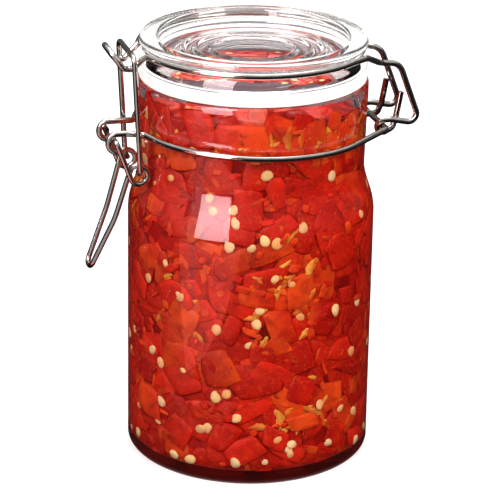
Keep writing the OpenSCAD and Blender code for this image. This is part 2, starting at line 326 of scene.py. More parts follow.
def jar_outside(s):
    """Outline of the jar from the middle of the base, round the foot and up to the mouth."""
    neck_r = BODY_R - s["neck_step"]
    shoulder_z = JAR_H - s["neck_height"] - s["shoulder"]
    lip_r = neck_r + s["lip_step"]
    hollow_r = BODY_R - s["foot_width"]
    punt = [i / HEEL_STEPS for i in range(HEEL_STEPS + 1)]
    rise = [i / SHOULDER_STEPS for i in range(SHOULDER_STEPS + 1)]
    # Small round edge under the lip
    under = 0.2
    return (
        [(hollow_r * t, s["punt"] * fall(t)) for t in punt]
        + arc((BODY_R - s["foot_round"], s["foot_round"]), s["foot_round"], -90, 0, HEEL_STEPS)
        + [(neck_r + s["neck_step"] * fall(t), shoulder_z + s["shoulder"] * t) for t in rise]
        + arc((lip_r - under, JAR_H - s["lip_height"] - under / 2), under, -60, 0, 3)
        + arc((lip_r - s["lip_round"], JAR_H - s["lip_round"]), s["lip_round"], 0, 90, LIP_STEPS)
    )


def inner_radius(s, z):
    """Radius of the jar's inside at a height."""
    neck_r = BODY_R - s["neck_step"] - s["wall"]
    shoulder_z = JAR_H - s["neck_height"] - s["shoulder"]
    heel_z = s["base"] + s["heel"]
    if z >= shoulder_z:
        return neck_r + s["neck_step"] * fall(min((z - shoulder_z) / s["shoulder"], 1))
    side = BODY_R - s["wall"]
    if z >= heel_z:
        return side
    drop = min(heel_z - z, s["heel"])
    return side - s["heel"] + math.sqrt(s["heel"] ** 2 - drop**2)


def jar_inside(s):
    """Outline of the jar's inside, from the mouth down to the middle of the base."""
    mouth_r = BODY_R - s["neck_step"] + s["lip_step"] - s["lip_wall"]
    shoulder_z = JAR_H - s["neck_height"] - s["shoulder"]
    steps = range(SHOULDER_STEPS, -1, -1)
    heights = [shoulder_z + s["shoulder"] * i / SHOULDER_STEPS for i in steps]
    return (
        arc((mouth_r + s["lip_round"], JAR_H - s["lip_round"]), s["lip_round"], 90, 180, LIP_STEPS)
        + [(mouth_r, JAR_H - s["lip_height"])]
        + [(inner_radius(s, z), z) for z in heights]
        + arc((BODY_R - s["wall"] - s["heel"], s["base"] + s["heel"]), s["heel"], 0, -90, HEEL_STEPS)
        + [(0, s["base"])]
    )


def ridge(radius, z, s):
    """A round ridge on the floor of the dish, from its outer side to its inner side."""
    across = [i / 4 for i in range(-4, 5)]
    return [(radius - s["ridge_half"] * t, z + s["ridge_height"] * fall(abs(t))) for t in across]


# Distances of the round ridges in from the edge of the dish
RIDGE_INSETS = (8, 12, 17)


def lid_outline(s):
    """Outline of the lid, from the middle of its underside round to the middle of the dish."""
    plug_r = LID_R - s["plug_in"]
    dish_r = LID_R - s["rim"]
    dish_z = LID_TOP - s["dish_depth"]
    groove_r = LID_R + s["groove_out"]
    groove_z = SEAT_Z + s["groove_height"]
    open_angle = math.degrees(math.acos(-s["groove_out"] / s["groove_cut"]))
    inner = plug_r - s["plug_width"]
    under = dish_z - s["floor"]
    bead, edge, crest, bowl = s["plug_round"], s["edge"], s["crest"], s["dish_round"]
    # Soft corner between the underside and the locating ring, and small cut above the ring
    soft_in, soft_out, soft_drop = 2, 0.6, 0.3
    cut = 0.3
    ridges = [ridge(dish_r - inset, dish_z, s) for inset in RIDGE_INSETS]
    return (
        [(0, under), (inner - soft_in, under), (inner - soft_out, under - soft_drop)]
        + [(inner, SEAT_Z - s["ring_root"])]
        + arc((inner + bead, PLUG_Z + bead), bead, 180, 270, CORNER_STEPS)
        + arc((plug_r - bead, PLUG_Z + bead), bead, -90, 0, CORNER_STEPS)
        + [(plug_r, SEAT_Z - cut), (plug_r + cut, SEAT_Z)]
        + arc((LID_R - edge, SEAT_Z + edge), edge, -90, 0, CORNER_STEPS)
        + arc((groove_r, groove_z), s["groove_cut"], 360 - open_angle, open_angle, 14)
        + arc((LID_R - crest, LID_TOP - crest), crest, 0, 90, 10)
        + arc((dish_r + crest, LID_TOP - crest), crest, 90, 165, 8)
        + arc((dish_r - bowl, dish_z + bowl), bowl, -15, -90, CORNER_STEPS)
        + [point for points in ridges for point in points]
        + [(0, dish_z)]
    )


# ---------------------------------------------------------------- materials


def pressed_glass(name, base, wave):
    """Pressed soda-lime glass: clear, fire-polished, with the slow waves that the mould leaves."""
    material, tree = new_material(name)
    where = add_node(tree, "ShaderNodeTexCoord").outputs["Object"]
    waves = add_node(tree, "ShaderNodeTexNoise", {"Vector": where, "Scale": per(wave), "Detail": 1.0})
    bump = add_node(
        tree, "ShaderNodeBump", {"Height": waves.outputs[0], "Strength": 0.12, "Distance": 0.3 * MM}
    )
    glass = add_node(
        tree,
        "ShaderNodeBsdfPrincipled",
        {
            "Base Color": base,
            "Roughness": 0.0,
            "IOR": 1.52,
            "Transmission Weight": 1.0,
            "Normal": bump.outputs[0],
        },
    )
    # Light passes straight through, so that what is in the jar isn't in its shadow
    clear = add_node(tree, "ShaderNodeBsdfTransparent", {"Color": base})
    shadow = add_node(tree, "ShaderNodeLightPath").outputs["Is Shadow Ray"]
    mix = add_node(tree, "ShaderNodeMixShader", {0: shadow, 1: glass.outputs[0], 2: clear.outputs[0]})
    return with_shader(material, mix)


def moulded_silicone(base):
    """Moulded silicone rubber: milky, with light going a little way in, and a satin skin."""
    material, tree = new_material("moulded_silicone")
    where = add_node(tree, "ShaderNodeTexCoord").outputs["Object"]
    skin = add_node(tree, "ShaderNodeTexNoise", {"Vector": where, "Scale": per(0.35), "Detail": 2.0})
    cloud = add_node(tree, "ShaderNodeTexNoise", {"Vector": where, "Scale": per(5), "Detail": 1.0})
    shade = add_node(
        tree, "ShaderNodeMix", {0: cloud.outputs[0], 6: base, 7: colour("E2E0DA")}, data_type="RGBA"
    ).outputs[2]
    bump = add_node(
        tree, "ShaderNodeBump", {"Height": skin.outputs[0], "Strength": 0.15, "Distance": 0.05 * MM}
    )
    shader = add_node(
        tree,
        "ShaderNodeBsdfPrincipled",
        {
            "Base Color": shade,
            "Roughness": 0.42,
            "IOR": 1.41,
            "Subsurface Weight": 0.4,
            "Subsurface Radius": (1.6 * MM, 1.5 * MM, 1.4 * MM),
            "Subsurface Scale": 1.0,
            "Normal": bump.outputs[0],
        },
    )
    return with_shader(material, shader)


def drawn_stainless(base, shade):
    """Bright drawn stainless wire: a mirror broken by the fine marks of the die and by handling."""
    material, tree = new_material("drawn_stainless_wire")
    where = add_node(tree, "ShaderNodeTexCoord").outputs["Object"]
    # The die's marks are finer than this on real wire; they are drawn coarser so that they show
    marks = add_node(tree, "ShaderNodeTexNoise", {"Vector": where, "Scale": per(0.25), "Detail": 3.0})
    handling = add_node(tree, "ShaderNodeTexNoise", {"Vector": where, "Scale": per(3), "Detail": 2.0})
    tone = add_node(tree, "ShaderNodeMapRange", {0: handling.outputs[0], 1: 0.35, 2: 0.75, 3: 0.0, 4: 0.35})
    metal = add_node(
        tree, "ShaderNodeMix", {0: tone.outputs[0], 6: base, 7: shade}, data_type="RGBA"
    ).outputs[2]
    gloss = add_node(tree, "ShaderNodeMapRange", {0: handling.outputs[0], 1: 0.3, 2: 0.7, 3: 0.05, 4: 0.13})
    bump = add_node(
        tree, "ShaderNodeBump", {"Height": marks.outputs[0], "Strength": 0.1, "Distance": 0.02 * MM}
    )
    shader = add_node(
        tree,
        "ShaderNodeBsdfPrincipled",
        {
            "Base Color": metal,
            "Metallic": 1.0,
            "Roughness": gloss.outputs[0],
            "Normal": bump.outputs[0],
        },
    )
    return with_shader(material, shader)


def pepper_flesh(name, gloss, shine):
    """Chopped pepper in its own juice: soft translucent flesh, each piece of its own red, with fibres."""
    material, tree = new_material(name)
    where = add_node(tree, "ShaderNodeTexCoord").outputs["Object"]
    own = add_node(tree, "ShaderNodeAttribute", attribute_name="tint").outputs["Color"]
    cloud = add_node(
        tree, "ShaderNodeTexNoise", {"Vector": where, "Scale": per(4.5), "Detail": 3.0, "Distortion": 0.6}
    )
    fibre = add_node(
        tree, "ShaderNodeTexNoise", {"Vector": where, "Scale": per(1.1), "Detail": 4.0, "Distortion": 1.2}
    )
    deep = add_node(tree, "ShaderNodeMapRange", {0: cloud.outputs[0], 1: 0.45, 2: 0.7, 3: 0.0, 4: 0.6})
    pale = add_node(tree, "ShaderNodeMapRange", {0: fibre.outputs[0], 1: 0.53, 2: 0.72, 3: 0.0, 4: 0.6})
    toned = add_node(
        tree, "ShaderNodeMix", {0: deep.outputs[0], 6: own, 7: colour("9A0A02")}, data_type="RGBA"
    ).outputs[2]
    fibred = add_node(
        tree, "ShaderNodeMix", {0: pale.outputs[0], 6: toned, 7: colour("EE4E16")}, data_type="RGBA"
    ).outputs[2]
    bump = add_node(
        tree, "ShaderNodeBump", {"Height": fibre.outputs[0], "Strength": 0.3, "Distance": 0.3 * MM}
    )
    shader = add_node(
        tree,
        "ShaderNodeBsdfPrincipled",
        {
            "Base Color": fibred,
            "Roughness": gloss,
            "Specular IOR Level": shine,
            "Subsurface Weight": 0.3,
            "Subsurface Radius": (1.6 * MM, 0.3 * MM, 0.15 * MM),
            "Subsurface Scale": 1.0,
            "Normal": bump.outputs[0],
        },
    )
    return with_shader(material, shader)


def relish_mass(settings):
    """Fine-chopped pepper and juice between the pieces: a mosaic of reds, with painted shade that darkens
    it where it shows in the gaps.
    """
    material, tree = new_material("pepper_relish_mass")
    where = add_node(tree, "ShaderNodeTexCoord").outputs["Object"]
    bent = add_node(tree, "ShaderNodeTexNoise", {"Vector": where, "Scale": per(6), "Detail": 2.0})
    pull = add_node(
        tree, "ShaderNodeVectorMath", {0: bent.outputs["Color"], "Scale": 3 * MM}, operation="SCALE"
    )
    moved = add_node(tree, "ShaderNodeVectorMath", {0: where, 1: pull.outputs[0]}, operation="ADD")
    cells = add_node(tree, "ShaderNodeTexVoronoi", {"Vector": moved.outputs[0], "Scale": per(5)})
    pick = add_node(tree, "ShaderNodeSeparateColor", {0: cells.outputs["Color"]})
    ramp = add_node(tree, "ShaderNodeValToRGB", {0: pick.outputs[0]})
    # The darkest cells take the deep red with painted gap shade
    stops = (
        (0.0, settings.deep_red_and_gap_shade),
        (0.3, settings.flesh_deep),
        (0.6, settings.flesh_red),
        (0.85, settings.flesh_deep),
        (1.0, settings.flesh_orange),
    )
    elements = ramp.color_ramp.elements
    elements.remove(elements[0])
    elements[0].position, elements[0].color = stops[0]
    for place, red in stops[1:]:
        elements.new(place).color = red
    # Fine noise mixes in more of the same painted gap shade
    grain = add_node(tree, "ShaderNodeTexNoise", {"Vector": where, "Scale": per(0.9), "Detail": 3.0})
    dark = add_node(tree, "ShaderNodeMapRange", {0: grain.outputs[0], 1: 0.4, 2: 0.7, 3: 0.0, 4: 0.6})
    shade = add_node(
        tree,
        "ShaderNodeMix",
        {0: dark.outputs[0], 6: ramp.outputs[0], 7: settings.deep_red_and_gap_shade},
        data_type="RGBA",
    ).outputs[2]
    shader = add_node(
        tree,
        "ShaderNodeBsdfPrincipled",
        {"Base Color": shade, "Roughness": 0.45, "Specular IOR Level": 0.1},
    )
    return with_shader(material, shader)


def pepper_seed(cream):
    """Dried-flat pepper seeds in juice: cream, a little darker in patches and stained by the oil."""
    material, tree = new_material("pepper_seed")
    where = add_node(tree, "ShaderNodeTexCoord").outputs["Object"]
    own = add_node(tree, "ShaderNodeAttribute", attribute_name="tint").outputs["Color"]
    spots = add_node(tree, "ShaderNodeTexNoise", {"Vector": where, "Scale": per(1.2), "Detail": 3.0})
    amount = add_node(tree, "ShaderNodeMapRange", {0: spots.outputs[0], 1: 0.45, 2: 0.75, 3: 0.0, 4: 0.6})
    toned = add_node(
        tree, "ShaderNodeMix", {0: amount.outputs[0], 6: own, 7: colour("D99A55")}, data_type="RGBA"
    ).outputs[2]
    shade = add_node(tree, "ShaderNodeMix", {0: 0.25, 6: toned, 7: cream}, data_type="RGBA").outputs[2]
    bump = add_node(
        tree, "ShaderNodeBump", {"Height": spots.outputs[0], "Strength": 0.3, "Distance": 0.15 * MM}
    )
    shader = add_node(
        tree,
        "ShaderNodeBsdfPrincipled",
        {"Base Color": shade, "Roughness": 0.5, "Specular IOR Level": 0.15, "Normal": bump.outputs[0]},
    )
    return with_shader(material, shader)


def plain_surface(name, base, grain):
    """Matt painted board, with a trace of roller texture."""
    material, tree = new_material(name)
    where = add_node(tree, "ShaderNodeTexCoord").outputs["Object"]
    texture = add_node(tree, "ShaderNodeTexNoise", {"Vector": where, "Scale": per(grain)})
    bump = add_node(
        tree, "ShaderNodeBump", {"Height": texture.outputs[0], "Strength": 0.05, "Distance": 0.1 * MM}
    )
    shader = add_node(
        tree, "ShaderNodeBsdfPrincipled", {"Base Color": base, "Roughness": 0.8, "Normal": bump.outputs[0]}
    )
    return with_shader(material, shader)


def lit_card(name, strength, shade=(1, 1, 1, 1)):
    """A studio card of even brightness."""
    material, tree = new_material(name)
    shader = add_node(tree, "ShaderNodeEmission", {"Color": shade, "Strength": strength})
    return with_shader(material, shader)


# ---------------------------------------------------------------- relish

# Radius of the jar's inside, where the patches' widths are measured
PATCH_R = 37
# Patches where the pith and paler flesh gather: angle, height, half width and half height
PALE_PATCHES = (
    (-86, 62, 12, 22),
    (-80, 20, 12, 10),
    (-92, 114, 16, 6),
    (-60, 111, 14, 6),
    (-165, 112, 12, 7),
    (-28, 113, 10, 7),
    (-140, 52, 8, 24),
    (10, 40, 14, 20),
    (70, 80, 16, 18),
    (130, 30, 14, 16),
    (170, 95, 10, 14),
)
# Spacing of the pieces up and round the glass, as a part of their usual width
ROW_GAP = 0.62
COLUMN_GAP = 0.8
# The deepest that a piece leans in from the glass, and the most of the wall that it may reach into
LEAN_IN = -3.0
REACH_OUT = 0.6
# Seeds on top, as a part of those against the glass
TOP_SEEDS = 0.12


def template(make):
    """A small mesh kept as a pattern for many copies."""
    bm = bmesh.new()
    make(bm)
    bmesh.ops.recalc_face_normals(bm, faces=bm.faces[:])
    mesh = bpy.data.meshes.new("pattern")
    bm.to_mesh(mesh)
    bm.free()
    return mesh


def extruded(bm):
    """Extrudes all the faces; returns the new corners."""
    top = bmesh.ops.extrude_face_region(bm, geom=bm.faces[:])["geom"]
    return [item for item in top if isinstance(item, bmesh.types.BMVert)]


def flesh_pattern(draw):
    """One irregular piece of pepper, about 1 wide and 1 thick, with sloping sides."""

    def make(bm):
        bmesh.ops.create_grid(bm, x_segments=4, y_segments=4, size=0.5)
        taper = draw.uniform(-0.35, 0.35)
        lean = draw.uniform(-0.3, 0.3)
        bow = draw.uniform(-0.12, 0.12)
        for vert in bm.verts:
            x, y = vert.co.x, vert.co.y
            rounding = 1 - 0.5 * (x * x) * (y * y) * 4
            vert.co.x = (x * (1 + taper * y) + lean * y + bow * (0.5 - 2 * y * y)) * rounding
            vert.co.y = (y + bow * (0.5 - 2 * x * x)) * rounding
            vert.co.x += draw.uniform(-0.035, 0.035)
            vert.co.y += draw.uniform(-0.035, 0.035)
        for vert in extruded(bm):
            vert.co = Vector((vert.co.x * 0.9, vert.co.y * 0.9, 1.0))

    return template(make)


def seed_pattern(draw):
    """One flat seed, 1 wide, drawn to a blunt point at one side."""

    def make(bm):
        bmesh.ops.create_uvsphere(bm, u_segments=10, v_segments=5, radius=0.5)
        point = draw.uniform(0.1, 0.3)
        wide = draw.uniform(0.78, 0.95)
        for vert in bm.verts:
            x, y, z = vert.co
            vert.co = (x + point * max(x, 0) ** 2, y * wide * (1 - point * x), z * 0.34)

    return template(make)


def pith_pattern(draw):
    """One ragged flake of pith, 1 long, narrow and bent."""

    def make(bm):
        bmesh.ops.create_grid(bm, x_segments=8, y_segments=2, size=0.5)
        bend = draw.uniform(-0.3, 0.3)
        broad = draw.uniform(0.16, 0.5)
        for vert in bm.verts:
            t = vert.co.x
            ragged = broad * (1 - (2 * t) ** 4 * 0.8) * draw.uniform(0.5, 1.3)
            vert.co.y = vert.co.y * ragged + bend * (0.25 - t * t) * 2
            vert.co.z = draw.uniform(-0.3, 0.3)
        bmesh.ops.translate(bm, verts=extruded(bm), vec=(0, 0, 1))

    return template(make)


def add_copy(bm, pattern, shades, place):
    """Adds a copy of the pattern, with place(point) giving each point's own place; its colour runs
    from the first shade at one end to the second at the other."""
    start = len(bm.verts)
    bm.from_mesh(pattern)
    bm.verts.ensure_lookup_table()
    layer = bm.verts.layers.float_color["tint"]
    first, last = Vector(shades[0]), Vector(shades[1])
    for vert in bm.verts[start:]:
        vert[layer] = first.lerp(last, min(max(vert.co.x + 0.5, 0), 1))
        vert.co = place(vert.co)


def on_wall(s, angle, height, scale, turn, lift, tilt):
    """Placer that lays a flat pattern on the inside of the glass, lift into it and leaning by tilt."""
    spin = Matrix.Rotation(turn, 2)

    def place(point):
        flat = spin @ Vector((point.x * scale[0], point.y * scale[1]))
        z = max(height + flat.y, s["base"] + 0.3)
        wall = inner_radius(s, z)
        proud = lift + tilt[0] * flat.x + tilt[1] * flat.y + point.z * scale[2]
        proud = min(max(proud, LEAN_IN), s["wall"] * REACH_OUT)
        a = angle + flat.x / wall
        return Vector(((wall + proud) * math.cos(a), (wall + proud) * math.sin(a), z)) * MM

    return place


def on_top(angle, radius, height, scale, turn, tilt, limit):
    """Placer that lays a flat pattern on top of the relish, inside the glass."""
    spin = Matrix.Rotation(turn, 3, "Z")
    lean = Matrix.Rotation(tilt[0], 3, "X") @ Matrix.Rotation(tilt[1], 3, "Y")
    centre = Vector((radius * math.cos(angle), radius * math.sin(angle), height))

    def place(point):
        flat = Vector((point.x * scale[0], point.y * scale[1], point.z * scale[2]))
        where = centre + lean @ (spin @ flat)
        reach = math.hypot(where.x, where.y)
        if reach > limit:
            where.x *= limit / reach
            where.y *= limit / reach
        return where * MM

    return place


def varied(shade, draw, amount):
    """A colour a little lighter or darker than the one given."""
    factor = 1 + draw.uniform(-amount, amount)
    return (*[min(part * factor, 1.0) for part in shade[:3]], 1.0)


def flesh_shades(relish, draw, warmth):
    """Colours of the two ends of one piece; warmth from 0 to 1 makes orange pieces likelier."""

    def one_end():
        roll = draw.random()
        if roll < 0.05 + 0.5 * warmth:
            return varied(relish.flesh_orange, draw, 0.2)
        if roll < 0.45 + 0.2 * warmth:
            return varied(relish.flesh_deep, draw, 0.25)
        return varied(relish.flesh_red, draw, 0.2)

    return one_end(), one_end()


def pale_place(angle, height):
    """How much pale pith there is at a place: about 1 in the middle of a patch, 0 away from them."""
    amount = 0
    for degrees, middle, wide, tall in PALE_PATCHES:
        across = math.remainder(angle - math.radians(degrees), math.tau) * PATCH_R / wide
        amount += math.exp(-(across**2) - ((height - middle) / tall) ** 2)
    return amount


def new_relish_bmesh():
    """An empty bmesh with the colour layer that the pieces carry."""
    bm = bmesh.new()
    bm.verts.layers.float_color.new("tint")
    return bm


# ---------------------------------------------------------------- operators


class CLAMPJAR_OT_glass_jar(bpy.types.Operator):
    """Turn the pressed glass jar and put it in place of the CAD jar"""

    bl_idname = "clamp_jar.glass_jar"
    bl_label = "Glass Jar"

    def execute(self, context):
        settings = context.scene.clamp_jar.jar
        s = sizes(settings)
        bm = lathe(jar_outside(s) + jar_inside(s))
        material = pressed_glass("pressed_jar_glass", settings.glass, 14)
        piece = finish_piece("clear_jar", bm, material, "jar")
        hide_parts("glass_jar")
        return {"FINISHED"}


class CLAMPJAR_OT_glass_lid(bpy.types.Operator):
    """Turn the pressed glass lid and put it in place of the CAD lid"""

    bl_idname = "clamp_jar.glass_lid"
    bl_label = "Glass Lid"

    def execute(self, context):
        settings = context.scene.clamp_jar.lid
        bm = lathe(lid_outline(sizes(settings)))
        material = pressed_glass("pressed_lid_glass", settings.glass, 9)
        piece = finish_piece("clear_lid", bm, material, "lid")
        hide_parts("glass_lid")
        return {"FINISHED"}


class CLAMPJAR_OT_trim(bpy.types.Operator):
    """Make the silicone sealing ring and give the clamp's wires their steel"""

    bl_idname = "clamp_jar.trim"
    bl_label = "Sealing Ring and Wires"

    def execute(self, context):
        settings = context.scene.clamp_jar.trim
        s = sizes(settings)
        soft = s["seal_round"]
        inner = SEAL_R - s["seal_width"]
        top = SEAT_Z + s["press"]
        outline = (
            arc((SEAL_R - soft, SEAL_Z + soft), soft, -90, 0, CORNER_STEPS)
            + arc((SEAL_R - soft, top - soft), soft, 0, 90, CORNER_STEPS)
            + arc((inner + soft, top - soft), soft, 90, 180, CORNER_STEPS)
            + arc((inner + soft, SEAL_Z + soft), soft, 180, 270, CORNER_STEPS)
        )
        bm = lathe(outline, closed=True)
        material = moulded_silicone(settings.silicone)
        piece = finish_piece("silicone_ring", bm, material, "lid")
        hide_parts("sealing_ring")
        steel = drawn_stainless(settings.steel, settings.steel_shade)
        for name in ("neck_wire", "lid_wire", "bail_wire", "lever_handle"):
            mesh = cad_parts[name].data
            mesh.materials.clear()
            mesh.materials.append(steel)
        return {"FINISHED"}


class CLAMPJAR_OT_relish(bpy.types.Operator):
    """Fill the jar with the fine-chopped mass, up to its lumpy top"""

    bl_idname = "clamp_jar.relish"
    bl_label = "Relish Mass"

    def execute(self, context):
        relish = context.scene.clamp_jar.relish
        s = sizes(context.scene.clamp_jar.jar)
        fill, bite = relish.fill / MM, relish.bite / MM
        heel_z = s["base"] + s["heel"]
        heights = [heel_z + (fill - heel_z) * i / 100 for i in range(1, 101)]
        rim = inner_radius(s, fill)
        outline = (
            [(0, s["base"] - bite)]
            + arc((BODY_R - s["wall"] - s["heel"], heel_z), s["heel"] + bite, -90, 0, 16)
            + [(inner_radius(s, z) + bite, z) for z in heights]
            + [(rim * (1 - i / 14), fill) for i in range(1, 15)]
        )
        bm = lathe(outline)
        for vert in bm.verts:
            reach = math.hypot(vert.co.x, vert.co.y) / MM
            if vert.co.z > (fill - 0.1) * MM and reach < rim:
                vert.co.z += 1.6 * MM * noise.noise(vert.co * per(7))
        finish_piece("relish_mass", bm, relish_mass(relish), "jar")
        return {"FINISHED"}


class CLAMPJAR_OT_pepper(bpy.types.Operator):
    """Lay the pieces of pepper against the glass and on top"""

    bl_idname = "clamp_jar.pepper"
    bl_label = "Pepper Pieces"

    def execute(self, context):
        relish = context.scene.clamp_jar.relish
        s = sizes(context.scene.clamp_jar.jar)
        draw = random.Random(relish.draw)
        patterns = [flesh_pattern(draw) for _ in range(9)]
        fill, usual = relish.fill / MM, relish.piece / MM
        bm = new_relish_bmesh()
        rows = round((fill - s["base"]) / (usual * ROW_GAP))
        columns = round(math.tau * BODY_R / (usual * COLUMN_GAP))
        for row in range(rows):
            for column in range(columns):
                height = s["base"] + (fill - s["base"]) * (row + draw.uniform(0, 1)) / rows
                angle = math.tau * (column + draw.uniform(0, 1)) / columns
                wide = usual * draw.uniform(0.5, 1.6)
                tall = usual * draw.uniform(0.5, 1.25)
                half = 0.55 * max(wide, tall)
                height = min(max(height, s["base"] + 2), fill - 0.3 * half)
                warmth = min(pale_place(angle, height), 1)
                place = on_wall(
                    s,
                    angle,
                    height,
                    (wide, tall, draw.uniform(0.2, 0.55)),
                    draw.uniform(-0.6, 0.6),
                    draw.uniform(-0.35, 0.75),
                    (draw.uniform(-0.05, 0.05), draw.uniform(-0.05, 0.05)),
                )
                add_copy(bm, draw.choice(patterns), flesh_shades(relish, draw, warmth), place)
        for _ in range(relish.scraps):
            height = draw.uniform(s["base"] + 2, fill - 1.5)
            angle = draw.uniform(0, math.tau)
            warmth = min(0.3 + pale_place(angle, height), 1)
            place = on_wall(
                s,
                angle,
                height,
                (draw.uniform(1.5, 5.5), draw.uniform(1, 3), draw.uniform(0.2, 0.6)),
                draw.uniform(0, math.tau),
                draw.uniform(0.2, 0.75),
                (draw.uniform(-0.1, 0.1), draw.uniform(-0.1, 0.1)),
            )
            add_copy(bm, draw.choice(patterns), flesh_shades(relish, draw, warmth), place)
        finish_piece("pepper_pieces", bm, pepper_flesh("pepper_flesh_in_juice", 0.5, 0.1), "jar")
        bm = new_relish_bmesh()
        limit = inner_radius(s, fill) - 0.2
        for _ in range(relish.lumps):
            angle = draw.uniform(0, math.tau)
            reach = limit * math.sqrt(draw.uniform(0, 0.95))
            place = on_top(
                angle,
                reach,
                fill - draw.uniform(0.2, 1.6),
                (usual * draw.uniform(0.5, 1.1), usual * draw.uniform(0.4, 0.9), draw.uniform(1.2, 2.4)),
                draw.uniform(0, math.tau),
                (draw.uniform(-0.35, 0.35), draw.uniform(-0.35, 0.35)),
                limit,
            )
            add_copy(bm, draw.choice(patterns), flesh_shades(relish, draw, 0.55), place)
        finish_piece("pepper_top", bm, pepper_flesh("pepper_flesh_wet", 0.28, 0.5), "jar")
        return {"FINISHED"}


class CLAMPJAR_OT_seeds(bpy.types.Operator):
    """Scatter the seeds against the glass and on top"""

    bl_idname = "clamp_jar.seeds"
    bl_label = "Seeds"

    def execute(self, context):
        relish = context.scene.clamp_jar.relish
        s = sizes(context.scene.clamp_jar.jar)
        draw = random.Random(relish.draw + 1)
        patterns = [seed_pattern(draw) for _ in range(5)]
        fill, usual = relish.fill / MM, relish.seed_size / MM
        bm = new_relish_bmesh()
        shades = [relish.seed_cream, colour("F0B67C"), colour("E8964E"), colour("F4D3A0")]
        for _ in range(relish.seeds):
            height = s["base"] + (fill - s["base"] - 6) * draw.random() ** 1.7 + 2
            angle = draw.uniform(0, math.tau)
            size = usual * draw.uniform(0.75, 1.12)
            place = on_wall(
                s,
                angle,
                height,
                (size, size, size),
                draw.uniform(0, math.tau),
                draw.uniform(0.35, 1.0),
                (draw.uniform(-0.3, 0.3), draw.uniform(-0.3, 0.3)),
            )
            cream = varied(draw.choice(shades), draw, 0.12)
            add_copy(bm, draw.choice(patterns), (cream, cream), place)
        for _ in range(round(relish.seeds * TOP_SEEDS)):
            size = usual * draw.uniform(0.8, 1.1)
            reach = inner_radius(s, fill) * math.sqrt(draw.uniform(0, 0.85))
            tilt = (draw.uniform(-0.4, 0.4), draw.uniform(-0.4, 0.4))
            place = on_top(
                draw.uniform(0, math.tau),
                reach,
                fill + 1.6,
                (size, size, size),
                draw.uniform(0, 6),
                tilt,
                math.inf,
            )
            cream = varied(draw.choice(shades), draw, 0.12)
            add_copy(bm, draw.choice(patterns), (cream, cream), place)
        finish_piece("pepper_seeds", bm, pepper_seed(relish.seed_cream), "jar")
        return {"FINISHED"}


class CLAMPJAR_OT_pith(bpy.types.Operator):
    """Lay the strands of pith in their patches"""

    bl_idname = "clamp_jar.pith"
    bl_label = "Pith"

    def execute(self, context):
        relish = context.scene.clamp_jar.relish
        s = sizes(context.scene.clamp_jar.jar)
        draw = random.Random(relish.draw + 2)
        patterns = [pith_pattern(draw) for _ in range(8)]
        shades = [relish.pith, colour("F2A848"), colour("E25A16")]
        fill = relish.fill / MM
        bm = new_relish_bmesh()
        for index in range(relish.strands):
            degrees, middle, wide, tall = PALE_PATCHES[index % len(PALE_PATCHES)]
            angle = math.radians(degrees) + draw.gauss(0, 0.5) * wide / PATCH_R
            height = middle + draw.gauss(0, 0.5) * tall
            if not s["base"] + 3 < height < fill - 3:
                continue
            long = draw.uniform(2.5, 8)
            place = on_wall(
                s,
                angle,
                height,
                (long, long, draw.uniform(0.2, 0.5)),
                draw.gauss(0.7, 0.8),
                draw.uniform(0.1, 0.6),
                (draw.uniform(-0.06, 0.06), draw.uniform(-0.06, 0.06)),
            )
            ends = [varied(draw.choice(shades), draw, 0.2) for _ in range(2)]
            add_copy(bm, draw.choice(patterns), ends, place)
        finish_piece("pith_strands", bm, pepper_flesh("pepper_pith", 0.5, 0.1), "jar")
        return {"FINISHED"}


# ---------------------------------------------------------------- stage

# The soft box and its mirror image in the table: degrees from the camera
BOX_SIDE = -37
# Brightness at the table and at the top of the soft box, as parts of its setting
BOX_FALL = (0.5, 1.4)


def card(name, material, width, height, centre, facing, rays):
    """A flat studio card, width across and height up, facing a point; rays names what sees it."""
    bm = bmesh.new()
    bmesh.ops.create_grid(bm, x_segments=1, y_segments=1, size=0.5)
    turn = (Vector(facing) - Vector(centre)).to_track_quat("Z", "Y").to_matrix().to_4x4()
    bm.transform(Matrix.Translation(Vector(centre)) @ turn @ Matrix.Diagonal((width, height, 1, 1)))
    return stage_piece(name, bm, material, rays)


def disc(name, material, radius, z, rays):
    """A flat round piece of the stage, radius in metres and z in millimetres."""
    bm = bmesh.new()
    bmesh.ops.create_circle(bm, cap_ends=True, radius=radius, segments=64)
    bmesh.ops.translate(bm, verts=bm.verts[:], vec=(0, 0, z * MM))
    return stage_piece(name, bm, material, rays)


def stage_piece(name, bm, material, rays):
    """A piece of the stage that only the named kinds of ray see."""
    piece = new_piece(name, bm, material)
    for kind in ("camera", "diffuse", "glossy", "transmission", "shadow", "volume_scatter"):
        setattr(piece, "visible_" + kind, kind in rays)
    return piece


def fading_card(name, low, high, top, shade):
    """A studio card that grows brighter from the table up to its top."""
    material, tree = new_material(name)
    where = add_node(tree, "ShaderNodeTexCoord").outputs["Object"]
    height = add_node(tree, "ShaderNodeSeparateXYZ", {0: where}).outputs["Z"]
    strength = add_node(tree, "ShaderNodeMapRange", {0: height, 1: 0.0, 2: top, 3: low, 4: high})
    shader = add_node(tree, "ShaderNodeEmission", {"Color": shade, "Strength": strength.outputs[0]})
    return with_shader(material, shader)


def two_sided_card(name, front, back):
    """A studio card of one brightness in front and another behind."""
    material, tree = new_material(name)
    side = add_node(tree, "ShaderNodeNewGeometry").outputs["Backfacing"]
    strength = add_node(tree, "ShaderNodeMapRange", {0: side, 3: front, 4: back})
    shader = add_node(tree, "ShaderNodeEmission", {"Strength": strength.outputs[0]})
    return with_shader(material, shader)


